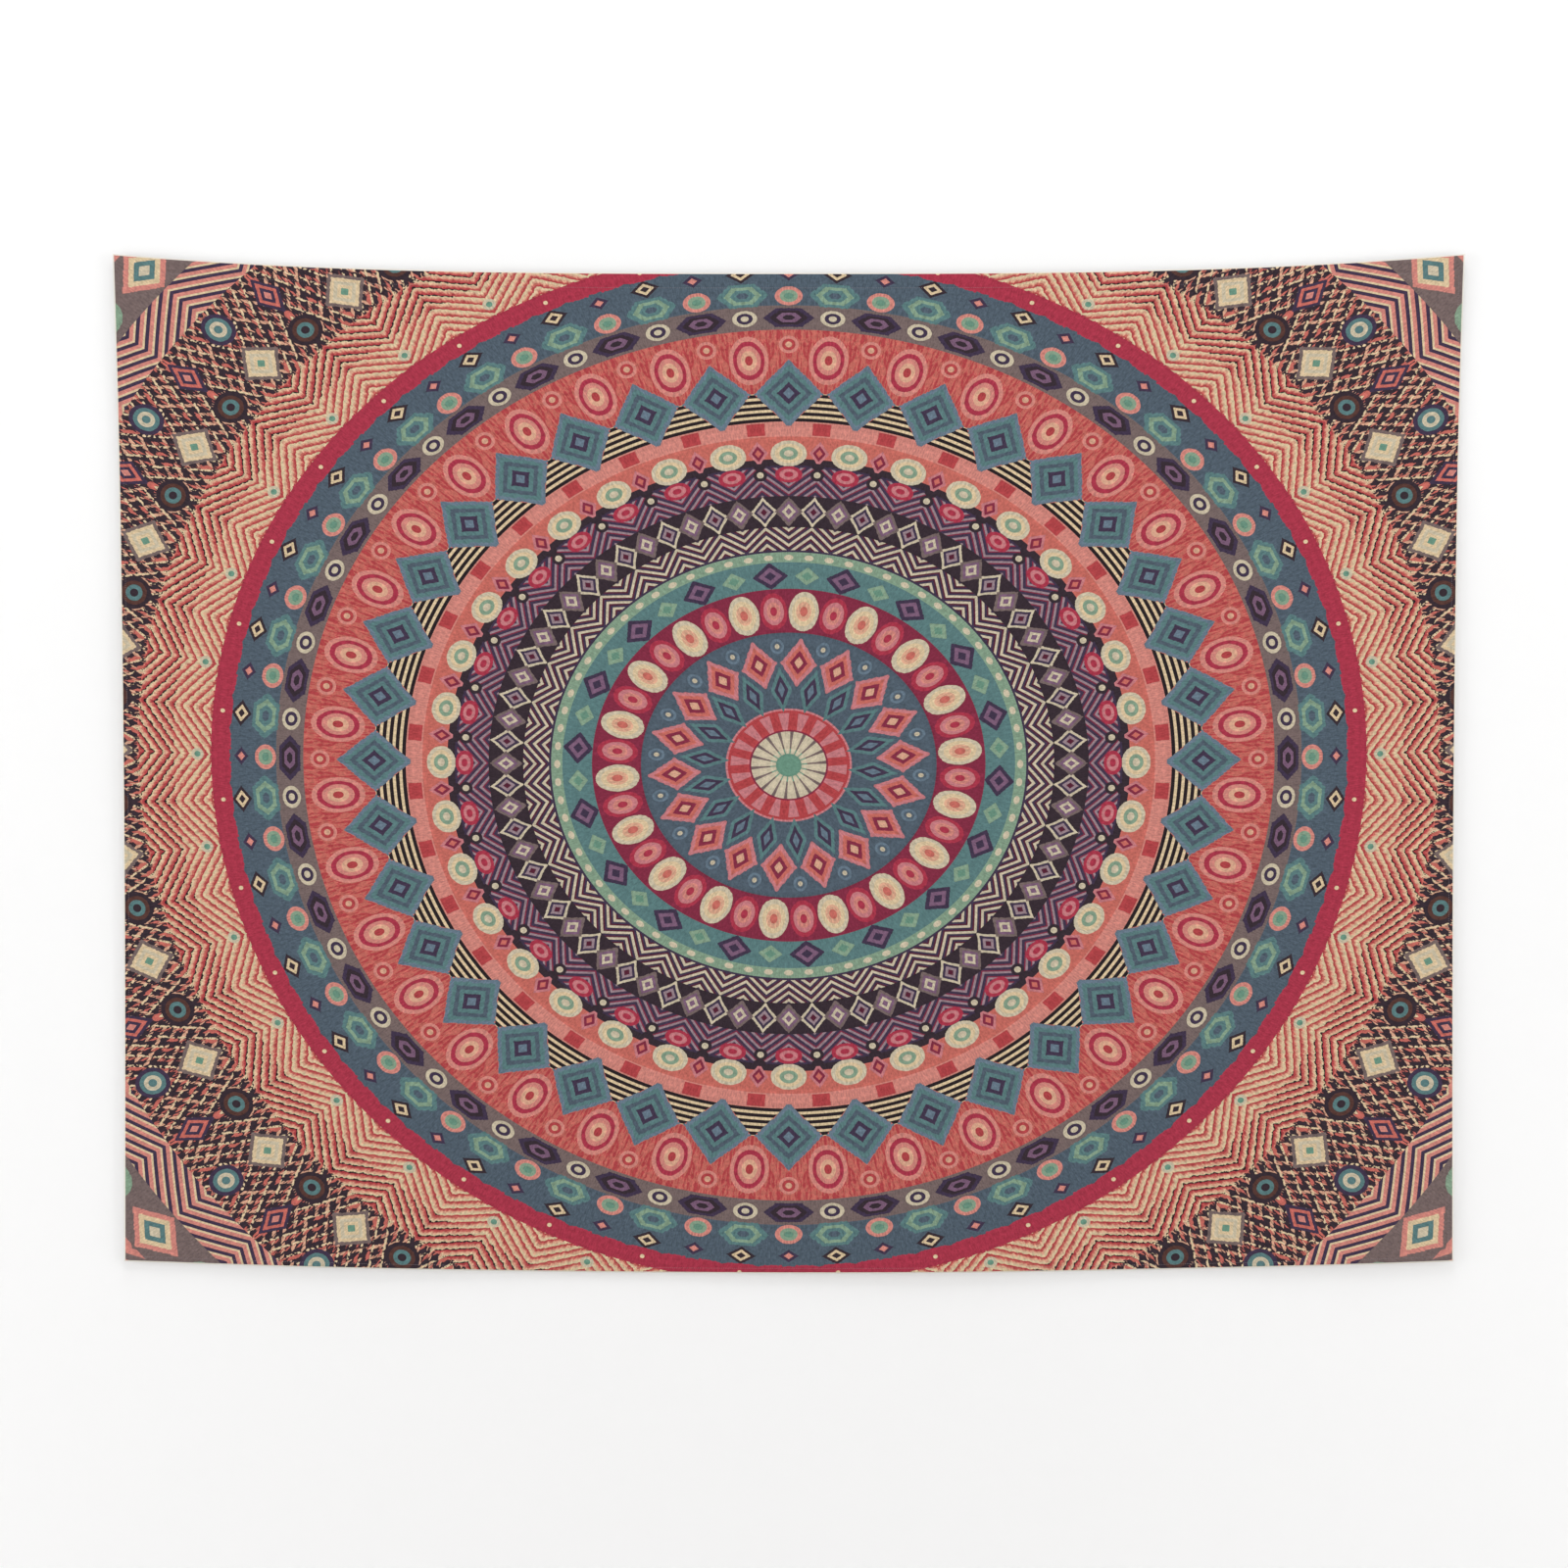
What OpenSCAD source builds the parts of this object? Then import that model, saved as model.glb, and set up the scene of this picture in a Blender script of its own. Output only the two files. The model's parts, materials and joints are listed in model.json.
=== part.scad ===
// Tapestry wall hanging: one printed cloth panel with sewn hems, hung by two cord loops on two nails.
// The wall is the plane y = 0, and the printed face looks along -Y. The origin lies on the wall,
// midway between the two nails.

/* [Cloth panel] */
// Width of the finished cloth at its top edge
cloth_w = 2000; // [1200:10:2400]
// Height of the finished cloth as it hangs
cloth_h = 1490; // [1000:10:1800]
// Thickness of the solid that stands for the cloth
cloth_t = 1.2; // [1:0.1:1.6]
// Height of the top corners above the nails
corner_z = 7; // [6:0.5:12]

/* [Hang of the cloth] */
// How far the top edge sags between the corners
top_sag = 28; // [0:1:40]
// How far each side edge draws in towards the bottom
side_in = 17; // [0:1:30]
// How far the bottom edge dips at its middle
bottom_dip = 18; // [0:1:30]
// Distance of the fold line below the nails
fold_drop = 745; // [400:5:800]

/* [Hems] */
// Depth of the top hem
top_hem_w = 25; // [24:1:40]
// Depth of the side and bottom hems
hem_w = 10; // [8:1:14]
// Thickness that a folded hem adds at the back
hem_t = 0.8; // [0.6:0.1:1]
// Distance of the stitching from a hem's inner edge
stitch_inset = 2; // [1.5:0.5:3]
// Width of a row of stitching
stitch_w = 0.8; // [0.6:0.1:1]
// How far the thread stands proud of the cloth
stitch_t = 0.3; // [0.2:0.05:0.3]

/* [Hanging loops] */
// Distance of each nail from the cloth's corner
nail_inset = 25; // [15:1:40]
// Diameter of the loop cord
cord_d = 2; // [1.6:0.1:2]
// Distance between the two legs of a loop
loop_w = 8.8; // [8.8:0.1:12]
// Length of a loop's legs below its top bar
loop_drop = 18.4; // [17:0.1:20]

/* [Nails] */
// Diameter of the nail in the wall
nail_d = 2.4; // [2.2:0.1:2.8]
// Diameter of the nail's neck, which the loop hangs on
neck_d = 2; // [1.8:0.1:2]
// Diameter of the nail head
head_d = 6; // [4:0.5:6]
// Thickness of the nail head
head_t = 1; // [0.8:0.1:1]
// Distance from the wall to the back of the head
nail_out = 7; // [6.5:0.5:8]
// Depth of the nail in the wall
nail_in = 20; // [16:1:40]
// Length of the nail's point
point_l = 4; // [3:0.5:6]

/* [Care label] */
// Width of the blank care label
label_w = 30; // [20:1:50]
// Height of the blank care label
label_h = 45; // [30:1:70]
// Height of the label above the bottom corner
label_up = 120; // [60:10:300]
// Thickness of the label
label_t = 0.4; // [0.3:0.1:0.6]

/* [Hidden] */
half_w = cloth_w / 2;
nail_x = half_w - nail_inset;
cord_r = cord_d / 2;
// clearance between a loop and the nail's neck
loop_gap = 0.2;
// clearance between a loop and the back of the nail head
bar_gap = 0.6;
// clearance between the nail head and the hem
head_gap = 0.4;
// how far the thick shank stands out of the wall
neck_gap = 0.5;
// strip left open above the fold line, where the cloth bends
fold_gap = 5;
bend_r = cord_d;
// straight pieces that the top edge and a side edge are made of
edge_steps = 24;
side_steps = 12;
fine = 48;

hem_back = -(nail_out + head_t + head_gap);
cloth_back = hem_back - hem_t;
cloth_front = cloth_back - cloth_t;
cloth_mid = cloth_back - cloth_t / 2;
swing_y = -(nail_out - cord_r - bar_gap);
swing_z = neck_d / 2 + cord_r + loop_gap;
fold_z = -fold_drop;
leg_shift = swing_y - hem_back - cord_r;
leg_tilt = atan(leg_shift / loop_drop);
leg_l = loop_drop / cos(leg_tilt);
// length of the thread round the foot of a leg, its height above the foot and its thickness
tack_l = 4;
tack_up = 0.6;
tack_wall = 0.4;

// Height of the top and bottom edges at u, which runs from -1 at the left side to 1 at the right
function top_z(u) = corner_z - top_sag * (1 - pow(abs(u), 3));
function bottom_z(u) = corner_z - cloth_h - bottom_dip * (1 - u * u);

// Half the width of the hanging cloth at v, which runs from 0 at the top to 1 at the bottom
function reach(v) = half_w - side_in * (1 - pow(1 - v, 3));

// Where the flat cloth's point (u, v) hangs, as [x, z]
function hang(u, v) = [u * reach(v), top_z(u) * (1 - v) + bottom_z(u) * v];

// Outline of the part of the cloth between u0 and u1 and between v0 and v1
function patch(u0, u1, v0, v1) = concat(
    [for (i = [0 : edge_steps]) hang(u0 + (u1 - u0) * i / edge_steps, v0)],
    [for (i = [1 : side_steps]) hang(u1, v0 + (v1 - v0) * i / side_steps)],
    [for (i = [1 : edge_steps]) hang(u1 + (u0 - u1) * i / edge_steps, v1)],
    [for (i = [1 : side_steps - 1]) hang(u0, v1 + (v0 - v1) * i / side_steps)]
);

// A flat piece of the given outline, from back face y to y - t
module slab(outline, y, t) {
    translate([0, y, 0])
        rotate([90, 0, 0])
            linear_extrude(height = t)
                polygon(outline);
}

// Everything above the open strip at the fold line, or everything below the fold line
module above_fold() {
    translate([-cloth_w, -cloth_w / 2, fold_z + fold_gap])
        cube([2 * cloth_w, cloth_w, cloth_h]);
}

module below_fold() {
    translate([-cloth_w, -cloth_w / 2, fold_z - cloth_h])
        cube([2 * cloth_w, cloth_w, cloth_h]);
}

// The upper or the lower part of a piece that crosses the fold
module upper_part() {
    intersection() {
        children();
        above_fold();
    }
}

module lower_part() {
    intersection() {
        children();
        below_fold();
    }
}

module cloth_panel() {
    slab(patch(-1, 1, 0, 1), cloth_back, cloth_t);
}

// The upper half of the printed panel, which turns on the nails
module printed_cloth_upper() {
    color("#6a4a58")
        upper_part()
            cloth_panel();
}

// The lower half, with a rounded top edge on the fold line
module printed_cloth_lower() {
    fold_v = (top_z(1) - fold_z) / (top_z(1) - bottom_z(1));
    bead_l = 2 * reach(fold_v) - 2;
    color("#6a4a58")
        union() {
            lower_part()
                cloth_panel();
            translate([-bead_l / 2, cloth_mid, fold_z])
                rotate([0, 90, 0])
                    cylinder(h = bead_l, r = cloth_t / 2, $fn = fine);
        }
}

top_v = top_hem_w / cloth_h;
bottom_v = 1 - hem_w / cloth_h;
side_u = 1 - hem_w / half_w;

module top_hem() {
    color("#e9e2dc")
        slab(patch(-1, 1, 0, top_v), hem_back, hem_t);
}

module bottom_hem() {
    color("#e9e2dc")
        slab(patch(-1, 1, bottom_v, 1), hem_back, hem_t);
}

// side is -1 for the left hem and 1 for the right hem
module side_hem(side) {
    color("#e9e2dc")
        slab(patch(side * side_u, side, top_v, bottom_v), hem_back, hem_t);
}

module left_hem_upper() {
    upper_part()
        side_hem(-1);
}

module left_hem_lower() {
    lower_part()
        side_hem(-1);
}

module right_hem_upper() {
    upper_part()
        side_hem(1);
}

module right_hem_lower() {
    lower_part()
        side_hem(1);
}

// A row of stitching seen on both faces: one bead on the hem and one on the printed face
module stitch_row(u0, u1, v0, v1) {
    color("#8c7f86")
        union() {
            slab(patch(u0, u1, v0, v1), hem_back + stitch_t, stitch_t);
            slab(patch(u0, u1, v0, v1), cloth_front, stitch_t);
        }
}

module top_hem_stitching() {
    v0 = top_v - (stitch_inset + stitch_w) / cloth_h;
    stitch_row(-side_u, side_u, v0, v0 + stitch_w / cloth_h);
}

module bottom_hem_stitching() {
    v0 = bottom_v + stitch_inset / cloth_h;
    stitch_row(-side_u, side_u, v0, v0 + stitch_w / cloth_h);
}

module side_hem_stitching(side) {
    u0 = side_u + stitch_inset / half_w;
    gap = stitch_inset / cloth_h;
    stitch_row(side * u0, side * (u0 + stitch_w / half_w), top_v + gap, bottom_v - gap);
}

module left_hem_stitching_upper() {
    upper_part()
        side_hem_stitching(-1);
}

module left_hem_stitching_lower() {
    lower_part()
        side_hem_stitching(-1);
}

module right_hem_stitching_upper() {
    upper_part()
        side_hem_stitching(1);
}

module right_hem_stitching_lower() {
    lower_part()
        side_hem_stitching(1);
}

// Puts a loop part at a loop's top bar, leaning forward so that the legs meet the hem
module at_loop(side) {
    translate([side * nail_x, swing_y, swing_z])
        rotate([-leg_tilt, 0, 0])
            children();
}

module loop_bend(side) {
    translate([side * (loop_w / 2 - bend_r), 0, -bend_r])
        rotate([90, 0, 0])
            rotate([0, 0, side > 0 ? 0 : 90])
                rotate_extrude(angle = 90, $fn = fine)
                    translate([bend_r, 0])
                        circle(r = cord_r, $fn = fine);
}

// A cord loop: a straight top bar, two round bends and two legs
module hanging_loop(side) {
    bar_l = loop_w - 2 * bend_r;
    color("#efe9e2")
        at_loop(side)
            union() {
                translate([-bar_l / 2, 0, 0])
                    rotate([0, 90, 0])
                        cylinder(h = bar_l, r = cord_r, $fn = fine);
                for (s = [-1, 1]) {
                    loop_bend(s);
                    translate([s * loop_w / 2, 0, -leg_l])
                        cylinder(h = leg_l - bend_r, r = cord_r, $fn = fine);
                }
            }
}

// Thread wrapped over the foot of each leg, down to the hem
module loop_tacks(side) {
    tack_r = cord_r + tack_wall;
    color("#f4f0ea")
        difference() {
            intersection() {
                at_loop(side)
                    for (s = [-1, 1])
                        translate([s * loop_w / 2, 0, tack_up - leg_l])
                            union() {
                                cylinder(h = tack_l, r = tack_r, $fn = fine);
                                translate([-tack_r, -2 * tack_r, 0])
                                    cube([2 * tack_r, 2 * tack_r, tack_l]);
                            }
                translate([-cloth_w, hem_back, -cloth_h])
                    cube([2 * cloth_w, nail_out, 2 * cloth_h]);
            }
            at_loop(side)
                for (s = [-1, 1])
                    translate([s * loop_w / 2, 0, -2 * leg_l])
                        cylinder(h = 3 * leg_l, r = cord_r, $fn = fine);
        }
}

// A round nail along +Y into the wall: head, neck, a thicker shank and a point
module nail(side) {
    head_r = head_d / 2;
    neck_r = neck_d / 2;
    shank_r = nail_d / 2;
    edge = head_t / 3;
    neck_end = head_t + nail_out - neck_gap;
    tip = head_t + nail_out + nail_in;
    color("#b9bbbf")
        translate([side * nail_x, -(nail_out + head_t), 0])
            rotate([-90, 0, 0])
                rotate_extrude($fn = fine)
                    polygon([
                        [0, 0],
                        [head_r - edge, 0],
                        [head_r, edge],
                        [head_r, head_t],
                        [neck_r, head_t],
                        [neck_r, neck_end],
                        [shank_r, neck_end],
                        [shank_r, tip - point_l],
                        [0, tip]
                    ]);
}

// A blank label sewn into the side hem on the back, near the lower corner
module care_label() {
    x1 = side_u * reach(1);
    z0 = bottom_z(1) + label_up;
    color("#f7f5f0")
        translate([x1 - label_w, cloth_back, z0])
            cube([label_w, label_t, label_h]);
}

printed_cloth_upper();
printed_cloth_lower();
top_hem();
bottom_hem();
left_hem_upper();
left_hem_lower();
right_hem_upper();
right_hem_lower();
top_hem_stitching();
bottom_hem_stitching();
left_hem_stitching_upper();
left_hem_stitching_lower();
right_hem_stitching_upper();
right_hem_stitching_lower();
hanging_loop(-1);  // left_hanging_loop
hanging_loop(1);  // right_hanging_loop
loop_tacks(-1);  // left_loop_tacks
loop_tacks(1);  // right_loop_tacks
nail(-1);  // left_nail
nail(1);  // right_nail
care_label();
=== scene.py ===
import json
import math

import bpy
import numpy as np
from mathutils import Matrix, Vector


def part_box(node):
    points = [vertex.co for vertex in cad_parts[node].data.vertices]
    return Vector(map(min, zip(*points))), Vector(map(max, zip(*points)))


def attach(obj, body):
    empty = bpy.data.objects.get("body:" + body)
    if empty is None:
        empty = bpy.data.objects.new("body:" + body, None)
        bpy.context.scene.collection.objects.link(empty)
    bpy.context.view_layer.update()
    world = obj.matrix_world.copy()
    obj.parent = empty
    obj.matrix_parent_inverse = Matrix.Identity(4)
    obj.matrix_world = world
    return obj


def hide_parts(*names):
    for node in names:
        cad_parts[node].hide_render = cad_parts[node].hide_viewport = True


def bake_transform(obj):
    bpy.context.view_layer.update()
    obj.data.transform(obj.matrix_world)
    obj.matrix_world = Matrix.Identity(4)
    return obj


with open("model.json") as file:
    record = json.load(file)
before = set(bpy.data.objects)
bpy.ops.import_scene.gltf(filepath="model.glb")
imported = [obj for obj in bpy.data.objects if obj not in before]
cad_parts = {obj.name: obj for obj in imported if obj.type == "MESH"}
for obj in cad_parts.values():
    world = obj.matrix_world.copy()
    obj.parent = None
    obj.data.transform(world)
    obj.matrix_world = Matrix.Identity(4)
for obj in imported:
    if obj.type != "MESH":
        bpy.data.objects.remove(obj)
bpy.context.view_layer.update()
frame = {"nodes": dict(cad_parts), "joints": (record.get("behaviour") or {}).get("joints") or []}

# ---------------------------------------------------------------- sizes, in metres
cloth_low, cloth_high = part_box("printed_cloth_upper")
hem_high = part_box("top_hem")[1]
nail_low, nail_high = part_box("right_nail")
swing, fold = frame["joints"]

# The cloth as it hangs, how far its edges stray from straight, and its flat cut size
HALF_W = cloth_high.x
CORNER_Z = cloth_high.z
CLOTH_H = 1.490
TOP_SAG = 0.028
SIDE_IN = 0.017
BOTTOM_DIP = 0.018
MID_Y = (cloth_low.y + cloth_high.y) / 2
CLOTH_T = 0.0003
# The hems: their widths, and how far their backs stand from the sheet's middle plane
TOP_HEM_W = 0.025
HEM_W = 0.010
HEM_BACK = hem_high.y
TOP_HEM_FAR = HEM_BACK - MID_Y
HEM_FAR = 0.0011
# The seams: how far from the hem's inner edge, and the size of one stitch
SEAM_IN = 0.0024
STITCH_PITCH = 0.0032
STITCH_HALF_L = 0.36 * STITCH_PITCH
STITCH_HALF_W = 0.00030
STITCH_HALF_T = 0.00016
# The label's gap from the sheet's back and its thickness, and the cloth's half width at its height
LABEL_GAP = 0.00005
LABEL_T = 0.00030
LABEL_HALF_W = 0.983
# The part with finer rows, as shares of the cloth's height
BEND_V = (0.474, 0.520)

# The print's middle, as a share of the cloth's height, its half width and its full height
PRINT_V = 0.492
PRINT_W = 0.985
PRINT_H = 1.480
# How much wider than tall its rings are, and the bare edge round it
PRINT_STRETCH = 1.115
PRINT_EDGE = 0.0018
# The print is painted by two materials that meet at this radius, where both paint the same rings
PRINT_SPLIT = 0.505
# How strongly the dyes show, and how much of the print shows through on the back
PRINT_DEPTH = 0.86
GHOST = 0.13
# Distance between the threads of the weave
THREAD_PITCH = 0.0012

# The creases fade in over this distance from a corner, and the billows over this one from the top
GRIP = 0.15
CALM = 0.12


# ---------------------------------------------------------------- shape of the hanging cloth
def relief(u, v):
    """How far the cloth stands out from its middle plane: corner creases and soft billows."""
    x = u * HALF_W
    z = v * CLOTH_H
    out = np.zeros_like(x)
    for side in (-1, 1):
        dx = HALF_W - side * x
        away = np.sqrt(dx * dx + z * z)
        angle = np.arctan2(z, np.maximum(dx, 1e-4))
        grip = away ** 4 / (away ** 4 + GRIP ** 4)
        out += 0.0026 * grip * np.exp(-away / 0.30) * np.sin(9 * angle + 2.0 + 6 * away)
        out += 0.0014 * grip * np.exp(-away / 0.55) * np.sin(17 * angle - 1.0 - 5 * away)
    calm = np.clip(z / CALM, 0, 1) ** 2
    out += 0.0016 * calm * np.sin(5.1 * x + 1.2 + 1.5 * z) * np.sin(2.3 * z + 0.4)
    out += 0.0011 * calm * np.sin(11.3 * x - 2.1 * z + 0.8)
    out += 0.0007 * calm * np.sin(7.9 * z + 3.3 * x)
    out += 0.0022 * v ** 4 * np.sin(8.7 * x + 0.5)
    return out


def hang(u, v, back=0.0):
    """Where the flat cloth's point (u, v) hangs; back moves it towards the wall."""
    u, v = np.broadcast_arrays(np.asarray(u, float), np.asarray(v, float))
    reach = HALF_W - SIDE_IN * (1 - (1 - v) ** 3)
    top = CORNER_Z - TOP_SAG * (1 - np.abs(u) ** 3)
    bottom = CORNER_Z - CLOTH_H - BOTTOM_DIP * (1 - u * u)
    x = u * reach
    z = top * (1 - v) + bottom * v
    y = MID_Y - relief(u, v) + back
    return np.stack([x, y, z], axis=-1)


def new_mesh(name, points, faces, materials):
    """A mesh object from arrays of points and faces, with its materials."""
    mesh = bpy.data.meshes.new(name)
    corners = [tuple(map(float, p)) for p in points]
    mesh.from_pydata(corners, [], [tuple(map(int, f)) for f in faces])
    mesh.validate()
    mesh.update()
    obj = bpy.data.objects.new(name, mesh)
    bpy.context.scene.collection.objects.link(obj)
    for material in materials:
        mesh.materials.append(material)
    mesh.polygons.foreach_set("use_smooth", [True] * len(mesh.polygons))
    return obj


def grid_faces(rows, columns, first, flip):
    """Quads of a grid of points listed row by row from index first."""
    i = np.arange(rows - 1)[:, None] * columns + np.arange(columns - 1)[None, :] + first
    i = i.ravel()
    quads = np.stack([i, i + 1, i + columns + 1, i + columns], axis=-1)
    return quads[:, ::-1] if flip else quads


def print_radius(u, v):
    """Distance from the print's middle, in metres, measured as the print's rings run."""
    return np.hypot(u * PRINT_W / PRINT_STRETCH, (PRINT_V - v) * PRINT_H)


def strip(name, us, vs, front, back, materials):
    """A closed thin piece that follows the cloth between two offsets from its middle plane."""
    u, v = np.meshgrid(us, vs)
    rows, columns = u.shape
    count = rows * columns
    points = np.concatenate([hang(u, v, front).reshape(-1, 3), hang(u, v, back).reshape(-1, 3)])
    edge = np.concatenate([
        np.arange(columns),
        np.arange(1, rows) * columns + columns - 1,
        (rows - 1) * columns + np.arange(columns - 2, -1, -1),
        np.arange(rows - 2, 0, -1) * columns,
    ])
    after = np.roll(edge, -1)
    rim = np.stack([edge, after, after + count, edge + count], axis=-1)
    front_faces = grid_faces(rows, columns, 0, True)
    faces = np.concatenate([front_faces, grid_faces(rows, columns, count, False), rim])
    obj = new_mesh(name, points, faces, materials)
    if len(materials) > 1:
        middle_u = (u[:-1, :-1] + u[1:, 1:]).ravel() / 2
        middle_v = (v[:-1, :-1] + v[1:, 1:]).ravel() / 2
        index = np.full(len(faces), len(materials) - 1)
        index[:len(front_faces)] = print_radius(middle_u, middle_v) > PRINT_SPLIT
        obj.data.polygons.foreach_set("material_index", index)
    layer = obj.data.uv_layers.new(name="print")
    flat = np.stack([u.ravel() * PRINT_W, (PRINT_V - v.ravel()) * PRINT_H], axis=-1)
    flat = np.concatenate([flat, flat])
    loops = np.empty(len(obj.data.loops), int)
    obj.data.loops.foreach_get("vertex_index", loops)
    layer.data.foreach_set("uv", flat[loops].ravel())
    return obj


def stitch_row(name, start, end, far, material):
    """A row of single stitches, each a spindle half sunk in the front or in the hem's back."""
    points, faces = [], []
    spindle = [(0, 2, 4), (0, 4, 3), (0, 3, 5), (0, 5, 2),
               (1, 4, 2), (1, 3, 4), (1, 5, 3), (1, 2, 5)]
    out = np.array([0.0, 1.0, 0.0])
    (u0, v0), (u1, v1) = start, end
    length = math.hypot((u1 - u0) * HALF_W, (v1 - v0) * CLOTH_H)
    number = int(length / STITCH_PITCH)
    t = (np.arange(number) + 0.5) / number
    for back, shift in ((-CLOTH_T / 2, 0.0), (far, 0.5)):
        at = t + shift / number
        here = hang(u0 + (u1 - u0) * at, v0 + (v1 - v0) * at, back)
        ahead = hang(u0 + (u1 - u0) * (at + 1e-4), v0 + (v1 - v0) * (at + 1e-4), back)
        along = ahead - here
        along /= np.linalg.norm(along, axis=1)[:, None]
        across = np.cross(along, out)
        for c, a, b in zip(here, along, across):
            first = len(points)
            points += [c - a * STITCH_HALF_L, c + a * STITCH_HALF_L]
            points += [c - b * STITCH_HALF_W, c + b * STITCH_HALF_W]
            points += [c - out * STITCH_HALF_T, c + out * STITCH_HALF_T]
            faces += [tuple(first + k for k in f) for f in spindle]
    return new_mesh(name, points, faces, [material])


def tube(path, radius, sides, normal):
    """Points and faces of a round closed tube along a path; normal is never along the path."""
    path = np.asarray(path, float)
    along = np.gradient(path, axis=0)
    along /= np.linalg.norm(along, axis=1)[:, None]
    across = np.cross(along, normal)
    across /= np.linalg.norm(across, axis=1)[:, None]
    up = np.cross(across, along)
    turn = np.arange(sides) * 2 * math.pi / sides
    ring = np.cos(turn)[None, :, None] * across[:, None, :]
    ring = ring + np.sin(turn)[None, :, None] * up[:, None, :]
    points = (path[:, None, :] + radius * ring).reshape(-1, 3)
    faces = []
    for i in range(len(path) - 1):
        for j in range(sides):
            k = (j + 1) % sides
            faces.append((i * sides + j, i * sides + k, (i + 1) * sides + k, (i + 1) * sides + j))
    faces.append(tuple(range(sides - 1, -1, -1)))
    faces.append(tuple((len(path) - 1) * sides + j for j in range(sides)))
    return points, faces


def joined(parts):
    """Points and faces of several tubes as one mesh."""
    points, faces, first = [], [], 0
    for p, f in parts:
        points.append(p)
        faces += [tuple(first + k for k in face) for face in f]
        first += len(p)
    return np.concatenate(points), faces


# ---------------------------------------------------------------- hanging loops
CORD_R = 0.001
LOOP_W = 0.0088
LOOP_DROP = 0.0184
BEND_R = 2 * CORD_R
CORD_STEP = 0.0003
# Three strands: their distance from the cord's middle, their radius, and the length of one turn
STRAND_OUT = 0.46 * CORD_R
STRAND_R = 0.53 * CORD_R
CORD_TWIST = 0.0042
# The tacks: turns of thread, the coil's radius, height and distance from the foot, and the
# thread's radius
TACK_TURNS = 7
TACK_OUT = 0.00115
TACK_H = 0.0034
TACK_UP = 0.0008
TACK_R = 0.00022
NAIL_X = (nail_low.x + nail_high.x) / 2
LOOP_Y, LOOP_Z = swing["pos_m"][1], swing["pos_m"][2]
LEG_SHIFT = LOOP_Y - HEM_BACK - CORD_R
LEG_L = math.hypot(LOOP_DROP, LEG_SHIFT)


def loop_point(side, x, down):
    """A point of a loop's own plane: x along the wall and down along its legs."""
    return np.array([
        side * NAIL_X + x,
        LOOP_Y - down * LEG_SHIFT / LEG_L,
        LOOP_Z - down * LOOP_DROP / LEG_L,
    ])


def loop_path(side):
    """The loop's centreline, from the foot of one leg over the nail to the foot of the other."""
    half = LOOP_W / 2
    flat = [(-half, LEG_L - d) for d in np.arange(0, LEG_L - BEND_R, CORD_STEP)]
    for a in np.linspace(0, math.pi / 2, 9):
        flat.append((-half + BEND_R * (1 - math.cos(a)), BEND_R * (1 - math.sin(a))))
    flat += [(x, 0.0) for x in np.arange(BEND_R - half + CORD_STEP, half - BEND_R, CORD_STEP)]
    for a in np.linspace(math.pi / 2, 0, 9):
        flat.append((half - BEND_R * (1 - math.cos(a)), BEND_R * (1 - math.sin(a))))
    flat += [(half, BEND_R + d) for d in np.arange(CORD_STEP, LEG_L - BEND_R, CORD_STEP)]
    return np.array([loop_point(side, x, d) for x, d in flat])


def plane_normal():
    """The direction square to a loop's own plane."""
    return np.array([0.0, LOOP_DROP, -LEG_SHIFT]) / LEG_L


def cord_loop(name, side, material):
    """Three twisted strands along the loop's centreline."""
    path = loop_path(side)
    step = np.linalg.norm(np.diff(path, axis=0), axis=1)
    run = np.concatenate([[0], np.cumsum(step)])
    normal = plane_normal()
    along = np.gradient(path, axis=0)
    along /= np.linalg.norm(along, axis=1)[:, None]
    across = np.cross(along, normal)
    parts = []
    for k in range(3):
        turn = 2 * math.pi * (run / CORD_TWIST + k / 3)
        aside = np.cos(turn)[:, None] * across + np.sin(turn)[:, None] * normal
        parts.append(tube(path + STRAND_OUT * aside, STRAND_R, 8, normal))
    points, faces = joined(parts)
    return new_mesh(name, points, faces, [material])


def loop_tacks(name, side, material):
    """Thread wound round the foot of each leg."""
    normal = plane_normal()
    sideways = np.array([1.0, 0, 0])
    down_leg = np.array([0.0, LEG_SHIFT, LOOP_DROP]) / LEG_L
    parts = []
    for leg in (-1, 1):
        turn = np.linspace(0, 2 * math.pi * TACK_TURNS, TACK_TURNS * 16)
        down = LEG_L - TACK_UP - TACK_H * (1 - turn / turn[-1])
        line = []
        for a, d in zip(turn, down):
            centre = loop_point(side, leg * LOOP_W / 2, d)
            line.append(centre + TACK_OUT * (math.cos(a) * sideways + math.sin(a) * normal))
        parts.append(tube(line, TACK_R, 6, down_leg))
    points, faces = joined(parts)
    return new_mesh(name, points, faces, [material])


# ---------------------------------------------------------------- colours
def srgb(text):
    """Linear RGBA of a six-digit colour."""
    values = [int(text[i:i + 2], 16) / 255 for i in (0, 2, 4)]
    linear = [v / 12.92 if v < 0.04045 else ((v + 0.055) / 1.055) ** 2.4 for v in values]
    return (*linear, 1.0)


INK = {name: srgb(text) for name, text in {
    "black": "2a2125",
    "dark": "3a2e36",
    "plum": "45384f",
    "mauve": "80607a",
    "lilac": "a08a92",
    "burgundy": "5c2438",
    "maroon": "8a3048",
    "crimson": "b1394e",
    "red": "b8474b",
    "coral": "ce7065",
    "salmon": "da8d82",
    "pink": "cc8085",
    "peach": "e2ae92",
    "cream": "e3cba5",
    "bone": "d3c6ac",
    "taupe": "7b6a68",
    "brown": "5b3c36",
    "slate": "556370",
    "steel": "6d8090",
    "teal": "5f8283",
    "sage": "8aa58d",
    "moss": "6f9985",
    "white": "e9e4da",
}.items()}


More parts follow.
